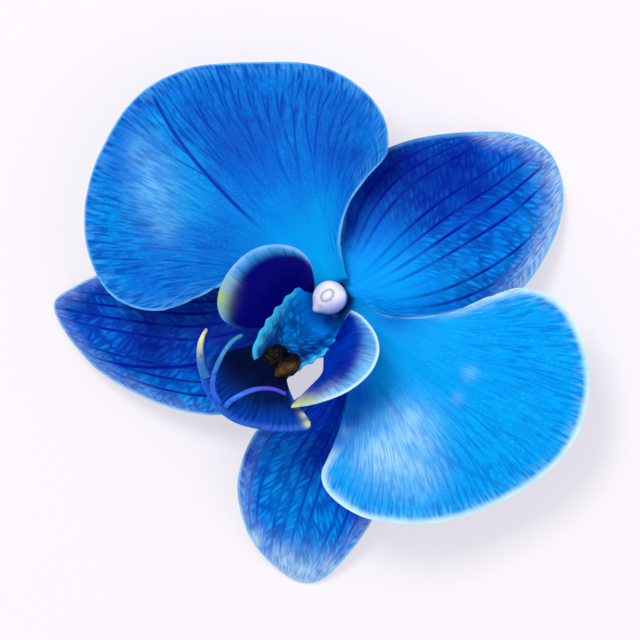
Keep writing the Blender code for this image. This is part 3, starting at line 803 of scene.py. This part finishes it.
midLobe = {
    "name": "lipMidLobe", "root": ((3.4, -15.4), (-2.4, -15.4)),
    "outline": [
        (4.8, -17.6), (8.4, -19), (14.2, -19.6), (12.6, -23.2), (9.2, -26.8), (5.8, -29.2),
        (2.7, -30.1), (-1, -29.9), (-4.4, -28.6), (-6.2, -25.8), (-5, -22.4), (-3.8, -19.2),
        (-3, -17.2),
    ],
    "corners": (2, 9), "steps": (60, 90),
    "blots": {
        "warm": [(13.9, -19.8, 0.9, 0.9), (12, -19.4, 0.7, 0.8), (10, -19.1, 0.6, 0.6)],
        # dark blots: painted shade in the hollow below the floor and the callus
        "paintedShade": [
            (4.2, -19, 4.2, 0.95), (-4.8, -22.6, 3, 0.95), (0.8, -20.5, 4.2, 0.97),
            (-2.6, -21.5, 3.8, 0.97),
        ],
    },
    # the dark root colours and the near-black shade colour are painted shade in that hollow
    "skin": {
        "heart": (0, 20, 60), "middle": (4, 48, 116), "margin": (6, 70, 190), "cell": (8, 86, 170),
        "shade": (0, 1, 10), "rim": (20, 100, 220), "rimWidth": 1, "rimFloor": 0.3,
        "warm": (215, 222, 140), "vein": (3, 18, 74),
    },
    "wall": {"thickness": 0.75, "thinRim": 0.5, "thinFrom": 2},
    "fold": {
        "start": (0.6, -15.4, 8.9), "drift": 0.15, "slope": 0.54, "trough": 0.014, "keel": 1.3,
        "keelWidth": 1.7,
    },
}


def midLobePlace(shape):
    patch = patchOf(shape)
    fold = shape["fold"]
    startX, startY, startZ = fold["start"]

    def place(along, across):
        flat = patch(along, across)
        below = startY - flat.y
        off = flat.x - (startX + fold["drift"] * below)
        z = startZ + fold["slope"] * below + fold["trough"] * off ** 2
        return Vector((flat.x, flat.y, z + fold["keel"] * bell(off, fold["keelWidth"])))

    return place


lipFloor = {
    "name": "lipFloor",
    "left": [
        (-5.7, -3.6, 9.6), (-6, -6.4, 11.4), (-5.5, -11, 11.6), (-4.4, -15.2, 12.2),
        (-2.8, -18.8, 12.2),
    ],
    "middle": [
        (0, -5.15, 3.7), (0, -7.5, 4.9), (-0.1, -11.2, 6.8), (0.2, -15.6, 9), (0.9, -20.2, 11.4),
    ],
    "right": [
        (3.4, -3.2, 5.8), (5.4, -7, 7.6), (5.6, -10.2, 8.7), (5.1, -13.6, 9.6), (4.8, -17.6, 10.8),
    ],
    "steps": (96, 64), "frill": 0.35,
    "blots": {
        # pale blots: painted highlights on the left crest; dark blots: painted shade under the cap,
        # along the right valley and around the callus
        "pale": [
            (-5.5, -11.6, 11.4, 1.5, 0.8), (-4.7, -14.6, 11.8, 1.5, 0.9),
            (-3.5, -17.4, 12.1, 1.3, 0.9), (4.6, -15, 9.8, 1.2, 0.6),
        ],
        "paintedShade": [
            (1.5, -15.4, 9.2, 2.2, 0.8), (-1.6, -6.2, 5.2, 2, 0.6), (0.6, -5.4, 4.2, 1.5, 0.9),
            (3.2, -5.6, 5.4, 1.1, 0.85), (3.6, -7.4, 6, 1, 0.9), (3.5, -9.2, 6.8, 0.9, 0.9),
            (3.7, -11, 7.6, 1, 0.9), (3.2, -12.8, 8.2, 1.2, 0.9), (-3.2, -13.4, 9.6, 1.2, 0.7),
            (-1.8, -16, 9.8, 1.6, 0.85),
        ],
    },
    "skin": {
        # the bright rim and pale colours are a painted highlight along the crests, partly a paler
        # edge
        "heart": (4, 124, 226), "middle": (8, 144, 250), "margin": (6, 76, 180),
        "cell": (24, 172, 255), "pale": (90, 222, 255), "rim": (60, 205, 255), "rimWidth": 1.1,
        "net": 0.8, "netLong": 13, "netAcross": 7, "netSlant": -0.3, "netWide": 0.4, "glow": 0.95,
        "vein": (2, 12, 84), "streaks": 0.7, "streakLong": 7, "streakAcross": 12,
    },
    "wall": {"thickness": 0.8, "thinRim": 0.5, "thinFrom": 2}, "frills": 13,
}


@cache
def floorLine(side, share):
    return linePoint(lipFloor[side], share)


def lipFloorPlace(along, across):
    left, middle, right = [floorLine(side, along) for side in ("left", "middle", "right")]
    point = (left * (1 - across) * (1 - 2 * across) + middle * 4 * across * (1 - across)
             + right * across * (2 * across - 1))
    frill = lipFloor["frill"] * math.sin(math.pi * along)
    frill *= math.sin(lipFloor["frills"] * math.pi * along + 3.0 * across)
    return point + Vector((-0.5, 0.0, 0.8)) * frill * smoothStep(abs(across - 0.5), 0.25, 0.5)


# rows of a tube as (share of the way, share of the radius), with round ends
def roundRows(count, roundStart, roundEnd):
    steps = 7
    rows = [(index / count, 1.0) for index in range(count + 1)
            if not (roundEnd and index / count >= 1.0 - roundEnd)
            and not (roundStart and index / count <= roundStart)]
    for index in range(steps + 1):
        angle = math.pi / 2 * index / steps
        radius = max(math.cos(angle), 0.0)
        if roundEnd:
            rows.append((1.0 - roundEnd + roundEnd * math.sin(angle), radius))
        if roundStart:
            rows.insert(0, (roundStart - roundStart * math.sin(angle), radius))
    return rows


# a grid rolled round a smooth line through (x, y, z, radius) points and welded shut
def rollTube(name, route, rows, around, swell=None):
    frames = []
    normal = None
    for share, _ in rows:
        here = linePoint(route, share)
        ahead = linePoint(route, min(share + 0.01, 1.0)) - linePoint(route, max(share - 0.01, 0.0))
        ahead = ahead.xyz.normalized()
        if normal is None:
            normal = ahead.cross(Vector((0.31, 0.95, 0.05))).normalized()  # no route runs this way
        normal = (normal - ahead * normal.dot(ahead)).normalized()
        frames.append((here, normal, ahead.cross(normal)))

    def place(along, across):
        row = round(along * (len(rows) - 1))
        here, first, second = frames[row]
        angle = 2 * math.pi * across
        radius = here.w * rows[row][1] * (swell(rows[row][0], angle) if swell else 1.0)
        return here.xyz + (first * math.cos(angle) + second * math.sin(angle)) * radius

    tube, shares = layGrid(name, (len(rows) - 1, around), place)
    paint(tube, "length", [rows[round(along * (len(rows) - 1))][0] for along, _ in shares])
    editAll(tube, weld)
    return tube


lipTips = {
    "tendrilLeft": {
        "route": [
            (2.4, -29.3, 16.4, 0.5), (-0.6, -28.6, 18.2, 0.48), (-2.5, -26.8, 19.4, 0.45),
            (-4, -23.8, 20.4, 0.42), (-4.9, -20.8, 20, 0.38), (-4.9, -18.6, 18.4, 0.35),
        ],
        "from": (20, 95, 225), "to": (20, 140, 170), "dots": (5, 40, 140),
    },
    "tendrilRight": {
        "route": [
            (3, -29.3, 16.4, 0.5), (2.6, -28, 18.2, 0.48), (3, -25.4, 18.6, 0.45),
            (3.8, -22.8, 17.6, 0.42), (5.4, -20.6, 15.9, 0.38), (7.4, -19.4, 14.4, 0.35),
        ],
        "from": (30, 110, 235), "to": (75, 60, 215), "dots": (20, 20, 130),
    },
    "barbLeft": {
        "route": [
            (-3.6, -28.2, 16.1, 0.9), (-6.3, -27, 17, 0.68), (-8.6, -25, 17.7, 0.5),
            (-9.8, -22.6, 18, 0.28),
        ],
        "from": (20, 110, 190), "to": (225, 228, 150), "dots": (10, 90, 110),
    },
}


def tipSkin(name, look):
    skin, shader, space = newSkin(name)
    far = ramp(painted("length"), 0.25, 0.85)
    colour = tint(far, look["from"], look["to"])
    spots = ramp(speckle(space, 700.0, 3.0), 0.52, 0.66, 0.0, 0.7)
    colour = tint(spots, colour, look["dots"])
    grain = speckle(space, 2200.0)
    finishSkin(shader, colour, ramp(grain, 0.0, 1.0, 0.28, 0.48), grain, 0.08)
    return skin


callus = {
    "bumps": [(0.5, -17.2, 10.4), (3.1, -16.4, 10.4)], "radii": (1.9, 3, 2), "warts": 0.3,
    "streak": ((2.3, -20.4), (4.6, -14.4)), "streakWidth": 0.6, "dark": (2, 2, 12),
    "brown": (26, 12, 10), "spots": (70, 46, 30), "tan": (104, 72, 42),
}


def callusSkin():
    skin, shader, space = newSkin("callusBrown")
    patches = speckle(space, 420.0, 3.0, 0.6)
    colour = tint(ramp(patches, 0.42, 0.6), callus["dark"], callus["brown"])
    spots = ramp(speckle(space, 700.0), 0.6, 0.74)
    colour = tint(spots, colour, callus["spots"])
    streak = times(painted("warm"), ramp(patches, 0.6, 0.4, 0.4, 1.0))
    colour = tint(streak, colour, callus["tan"])
    grain = speckle(space, 1800.0)
    finishSkin(shader, colour, ramp(grain, 0.0, 1.0, 0.3, 0.5), patches, 0.25, 0.12)
    return skin


# a sphere at its place, squeezed to its radii
def addBall(name, centre, radii, segments=48, rings=32):
    deselectAll()
    bpy.ops.mesh.primitive_uv_sphere_add(segments=segments, ring_count=rings, radius=radii[0] * mm,
                                         location=heart + Vector(centre) * mm, calc_uvs=True)
    ball = bpy.context.object
    ball.name = ball.data.name = name
    ball.scale = (1.0, radii[1] / radii[0], radii[2] / radii[0])
    bpy.ops.object.transform_apply(location=True, rotation=True, scale=True)
    return ball


# pushes each point out along its normal by what the map says, in mm
def pushOut(piece, amount):
    normals = [vertex.normal.copy() for vertex in piece.data.vertices]
    for vertex, normal in zip(piece.data.vertices, normals):
        vertex.co += normal * amount((vertex.co - heart) / mm) * mm


def warts(point):
    return callus["warts"] * noise.noise(point * 1.7) + 0.08 * noise.noise(point * 4.5)


def growLip():
    parts = []
    for shape in (rightLobe, leftLobe):
        inside = bladeSkin(shape["name"] + "Inside", {**lipSkin, **shape["inside"]})
        outside = bladeSkin(shape["name"] + "Outside", lobeOutside)
        place = lobePlace(shape)
        parts.append(growSheet(shape, place, [inside, outside], lobe, shape["facing"]))
    for shape, place in ((midLobe, midLobePlace(midLobe)), (lipFloor, lipFloorPlace)):
        face = bladeSkin(shape["name"] + "Face", {**lipSkin, **shape["skin"]})
        back = bladeSkin(shape["name"] + "Back", lobeOutside)
        parts.append(growSheet(shape, place, [face, back], shape["wall"]))
    for name, look in lipTips.items():
        tip = rollTube(name, look["route"], roundRows(40, 0.0, 0.04), 20)
        tip.data.materials.append(tipSkin(name + "Skin", look))
        parts.append(tip)
    brown = callusSkin()
    start, end = [Vector(spot) for spot in callus["streak"]]
    way = (end - start).normalized()
    for index, centre in enumerate(callus["bumps"]):
        bump = addBall(f"callus{index}", centre, callus["radii"])
        pushOut(bump, warts)
        spots = [((vertex.co - heart) / mm).to_2d() - start for vertex in bump.data.vertices]
        paint(bump, "warm", [bell(way.cross(spot), callus["streakWidth"]) for spot in spots])
        bump.data.materials.append(brown)
        parts.append(bump)
    standFor(joinPieces("lipWhole", parts), "lip")


growLip()
print("lip grown")

column = {
    "base": (-1.3, -1.6), "tip": (-1.3, -2.8), "bottom": 0.65, "top": 9.6,
    "stations": [(0, 0, 1.8), (0.22, 0.05, 1.7), (0.55, 0.35, 2.2), (0.87, 0.8, 2.8), (1, 1, 2.5)],
    "foot": [(-1.1, -2.2, 3.5, 1.4), (-0.8, -3.4, 3.5, 1.4), (-0.4, -4.5, 3.7, 1.1)],
    "heel": [
        (-0.9, -3.2, 2.6, 0.8), (0, -4.2, 2.45, 0.9), (0.6, -4.9, 2.4, 0.85), (1.1, -5.3, 2.4, 0.7),
    ],
    "stigma": (-1.3, -5.7, 7.2), "stigmaRadii": (1.5, 1.6, 1.7), "stigmaDepth": 1.3,
    "low": (6, 60, 165), "high": (14, 92, 205), "streaks": (5, 34, 128), "stigmaShade": (3, 8, 92),
}


def columnSkin():
    skin, shader, space = newSkin("columnBlue")
    height = addNode("SeparateXYZ", {0: space}).outputs[2]
    share = ramp(height, heart.z + 1.0 * mm, heart.z + 9.0 * mm)
    colour = tint(share, column["low"], column["high"])
    stretched = addNode("Mapping", {0: space, 3: (900.0, 900.0, 160.0)}).outputs[0]
    streaky = speckle(stretched, 1.0, 3.0)
    colour = tint(ramp(streaky, 0.5, 0.68, 0.0, 0.7), colour, column["streaks"])
    colour = tint(painted("paintedShade"), colour, column["stigmaShade"])
    grain = speckle(space, 1500.0)
    finishSkin(shader, colour, ramp(grain, 0.0, 1.0, 0.3, 0.5), streaky, 0.1, 0.15)
    return skin


def growColumn():
    base, tip = Vector((*column["base"], 0)), Vector((*column["tip"], 0))
    bottom, top = column["bottom"], column["top"]
    route = []
    for height, leaning, radius in column["stations"]:
        spot = base.lerp(tip, leaning)
        route.append((spot.x, spot.y, bottom + (top - bottom) * height, radius))
    rows = [(0.0, share / 6) for share in range(6)] + [(index / 56, 1.0) for index in range(57)]
    rows += [(1.0, 1 - share / 6) for share in range(1, 7)]
    trunk = rollTube("columnTrunk", route, rows, 72)
    for vertex in trunk.data.vertices:
        vertex.co.z = min(max(vertex.co.z, heart.z + bottom * mm), heart.z + top * mm)
    # painted shade: the stigma's dent is darkened towards the stigma shade colour, deeper in the
    # hollow
    hollow = Vector(column["stigma"])
    shade = []
    for vertex in trunk.data.vertices:
        gap = (vertex.co - heart) / mm - hollow
        near = Vector([gap[axis] / column["stigmaRadii"][axis] for axis in range(3)]).length
        dent = max(1.0 - (near / 1.35) ** 2, 0.0) ** 2
        vertex.co += Vector((0, 1, 0.1)) * column["stigmaDepth"] * dent * mm
        shade.append(min(dent * 3.0, 1.0))
    paint(trunk, "paintedShade", shade)
    foot = rollTube("columnFoot", column["foot"], roundRows(30, 0.08, 0.12), 40)
    heel = rollTube("columnHeel", column["heel"], roundRows(24, 0.2, 0.2), 32)
    blue = columnSkin()
    for part in (trunk, foot, heel):
        part.data.materials.append(blue)
    standFor(joinPieces("columnWhole", [trunk, foot, heel]), "column")


growColumn()
print("column grown")

cap = {
    "seat": capSeat, "radii": (2.95, 2.95, 2.5), "wall": 0.6, "ridge": 0.1,
    "mark": (-0.25, -0.1), "markSize": (0.95, 1.25), "markWidth": 0.22, "markDepth": 0.13,
    "beak": (0, -0.75, -0.05), "beakWidth": 0.9,
    "white": (236, 234, 248), "bluish": (200, 206, 242), "ring": (128, 132, 160),
    "shade": (112, 142, 226),
}


def capSkin():
    skin, shader, space = newSkin("capWhite")
    soft = ramp(speckle(space, 380.0), 0.4, 0.7)
    colour = tint(soft, cap["white"], cap["bluish"])
    colour = tint(painted("pale"), colour, cap["ring"])
    colour = tint(painted("paintedShade"), colour, cap["shade"])
    grain = speckle(space, 1600.0)
    finishSkin(shader, colour, ramp(grain, 0.0, 1.0, 0.26, 0.42), grain, 0.05)
    return skin


def growCap():
    seat = Vector(cap["seat"])
    dome = addBall("antherCapFine", seat, cap["radii"], 72, 48)
    editAll(dome, lambda: bpy.ops.mesh.bisect(plane_co=heart + seat * mm, plane_no=(0, 0, 1),
                                              clear_inner=True))
    marks, shades = [], []
    for vertex in dome.data.vertices:
        point = (vertex.co - heart) / mm - seat
        ring = Vector([(point[axis] - cap["mark"][axis]) / cap["markSize"][axis]
                       for axis in range(2)]).length
        groove = bell(ring - 1.0, cap["markWidth"]) if point.z > 1.0 else 0.0
        ridge = bell(point.x, 0.3) * smoothStep(point.z, 0.8, 2.2)
        vertex.co += point.normalized() * (cap["ridge"] * ridge - cap["markDepth"] * groove) * mm
        beak = bell(point.x, cap["beakWidth"]) * smoothStep(-point.y, 1.8, 2.9)
        beak *= smoothStep(1.6 - point.z, 0.0, 1.6)
        vertex.co += Vector(cap["beak"]) * beak * mm
        marks.append(groove * 0.75)
        # painted shade: bluer towards the seat and towards the lower right, away from the light
        low = smoothStep(point.x * 0.94 - point.y * 0.34, 0.3, 2.5)
        shades.append(min(0.35 * smoothStep(1.1 - point.z, 0.0, 1.1) + 0.7 * low, 1.0))
    paint(dome, "pale", marks)
    paint(dome, "paintedShade", shades)
    finishModifier(dome, "SOLIDIFY", thickness=cap["wall"] * mm, offset=-1.0)
    dome.data.materials.append(capSkin())
    standFor(dome, "anther_cap")


growCap()

pollen = {
    "stipe": (0.0, -0.55, 0.35), "stipeRadii": (0.95, 0.55, 0.32),
    "masses": [(-0.6, 0.2, 0.62), (0.6, 0.2, 0.62)], "massRadii": (0.62, 0.8, 0.6),
    "dark": (190, 130, 20), "bright": (245, 205, 70),
}


def growPollen():
    skin, shader, space = newSkin("pollenYellow")
    grain = speckle(space, 2400.0, 3.0)
    colour = tint(ramp(grain, 0.35, 0.65), pollen["dark"], pollen["bright"])
    finishSkin(shader, colour, ramp(grain, 0.0, 1.0, 0.35, 0.6), grain, 0.1)
    seat = Vector(cap["seat"])
    parts = [addBall("stipe", seat + Vector(pollen["stipe"]), pollen["stipeRadii"], 32, 20)]
    for index, spot in enumerate(pollen["masses"]):
        name = f"pollenMass{index}"
        parts.append(addBall(name, seat + Vector(spot), pollen["massRadii"], 40, 28))
        pushOut(parts[-1], lambda point: 0.05 * noise.noise(point * 5.0) - 0.05)
    for part in parts:
        part.data.materials.append(skin)
    standFor(joinPieces("pollenPair", parts), "pollinia")


growPollen()
print("cap and pollen made")

stalk = {
    "away": (-0.64, -0.77), "start": -1.3, "flat": 0.35, "grooves": 6, "grooveDepth": 0.07,
    # how far out, how high and how thick
    "bend": [(0.0, 0.35, 3.2), (0.0, -1.6, 2.9), (1.0, -4.6, 2.5), (4.2, -7.6, 2.4),
             (9.0, -9.2, 2.2)],
    "lying": [(16.0, 2.1), (24.0, 1.95), (29.0, 1.9)],
    "near": (0, 96, 196), "far": (20, 72, 84), "streaks": (12, 40, 62), "dots": (70, 120, 110),
    "top": (0, 30, 112), "cut": (120, 165, 120), "pores": (60, 105, 85),
}


def stalkSkin():
    skin, shader, space = newSkin("stalkGreen")
    along, across = sheetWay()
    inputs = {0: times(along, 9.0), 1: times(across, 60.0)}
    streak = speckle(addNode("CombineXYZ", inputs).outputs[0], 1.0, 3.0)
    colour = tint(ramp(along, 0.05, 0.5), stalk["near"], stalk["far"])
    colour = tint(ramp(streak, 0.45, 0.65, 0.0, 0.8), colour, stalk["streaks"])
    dots = ramp(speckle(space, 750.0), 0.64, 0.72, 0.0, 0.6)
    colour = tint(dots, colour, stalk["dots"])
    colour = tint(ramp(along, 0.05, 0.03), colour, stalk["top"])
    finishSkin(shader, colour, ramp(streak, 0.0, 1.0, 0.34, 0.56), streak, 0.12, 0.2)
    return skin


def cutSkin():
    skin, shader, space = newSkin("stalkCut")
    pores = speckle(space, 1500.0)
    colour = tint(ramp(pores, 0.45, 0.62), stalk["cut"], stalk["pores"])
    finishSkin(shader, colour, ramp(pores, 0.0, 1.0, 0.35, 0.6), pores, 0.12)
    return skin


def growStalk():
    away = Vector((*stalk["away"], 0))
    stations = stalk["bend"] + [(out, restZ + radius - stalk["flat"], radius)
                                for out, radius in stalk["lying"]]
    route = [(stalk["away"][0] * out + stalk["start"], stalk["away"][1] * out + stalk["start"],
              height, radius) for out, height, radius in stations]
    rows = [(0.0, share / 5) for share in range(5)] + [(index / 110, 1.0) for index in range(111)]
    rows += [(1.0, 0.96), (1.0, 0.8), (1.0, 0.5), (1.0, 0.25), (1.0, 0.0)]

    def swell(share, angle):
        groove = 0.5 - 0.5 * math.cos(stalk["grooves"] * angle)
        return 1.0 - stalk["grooveDepth"] * groove * smoothStep(share, 0.05, 0.3)

    pedicel = rollTube("pedicelFine", route, rows, 72, swell)
    keepOffGround(pedicel)
    pedicel.data.materials.append(stalkSkin())
    pedicel.data.materials.append(cutSkin())
    end = heart + Vector(route[-1][:3]) * mm
    for face in pedicel.data.polygons:
        if face.normal.dot(away) > 0.9 and (face.center - end).length < 2.2 * mm:
            face.material_index = 1
    standFor(pedicel, "pedicel")


growStalk()
print("pedicel grown")

studio = {
    "size": 6.0, "gap": 0.03 * mm,
    "floor": (0.345, 0.33, 0.343), "glow": (0.585, 0.562, 0.586),
    "air": (0.965, 0.93, 0.973), "airPower": 0.6,
    # metres to the right, up and towards the camera, then size and power
    "lamps": {"key": ((-0.3, 0.42, 0.75), 0.35, 4.6), "fill": ((0.6, -0.25, 0.7), 0.6, 1.6)},
}


def setStudio():
    deselectAll()
    ground = cadBox[0][2] - studio["gap"]
    bpy.ops.mesh.primitive_plane_add(size=studio["size"], location=(0, 0, ground))
    floor = bpy.context.object
    floor.name = "floorPlane"
    skin, shader, space = newSkin("paperFloor")
    grain = speckle(space, 900.0)
    dimmer = [value * 0.985 for value in studio["floor"]]
    inputs = {0: ramp(grain, 0.3, 0.7), 6: (*studio["floor"], 1.0), 7: (*dimmer, 1.0)}
    colour = addNode("Mix", inputs, data_type="RGBA").outputs[2]
    finishSkin(shader, colour, ramp(grain, 0.0, 1.0, 0.75, 0.85), grain, 0.02, strength=0.2)
    shader.inputs["Emission Color"].default_value = (*studio["glow"], 1.0)
    shader.inputs["Emission Strength"].default_value = 1.0
    floor.data.materials.append(skin)
    world = bpy.data.worlds.new("studioAir")
    world.use_nodes = True
    air = world.node_tree.nodes["Background"].inputs
    air[0].default_value = (*studio["air"], 1.0)
    air[1].default_value = studio["airPower"]
    bpy.context.scene.world = world
    for name, ((right, up, toward), size, power) in studio["lamps"].items():
        way = pictureRight * right + pictureUp * up + towardCamera * toward
        turn = way.to_track_quat("Z", "Y").to_euler()
        bpy.ops.object.light_add(type="AREA", location=heart + way, rotation=turn)
        lamp = bpy.context.object
        lamp.name = name
        lamp.data.size = size
        lamp.data.energy = power
        lamp.visible_camera = False


setStudio()
bpy.context.scene.view_settings.view_transform = "Standard"
print("studio lit")
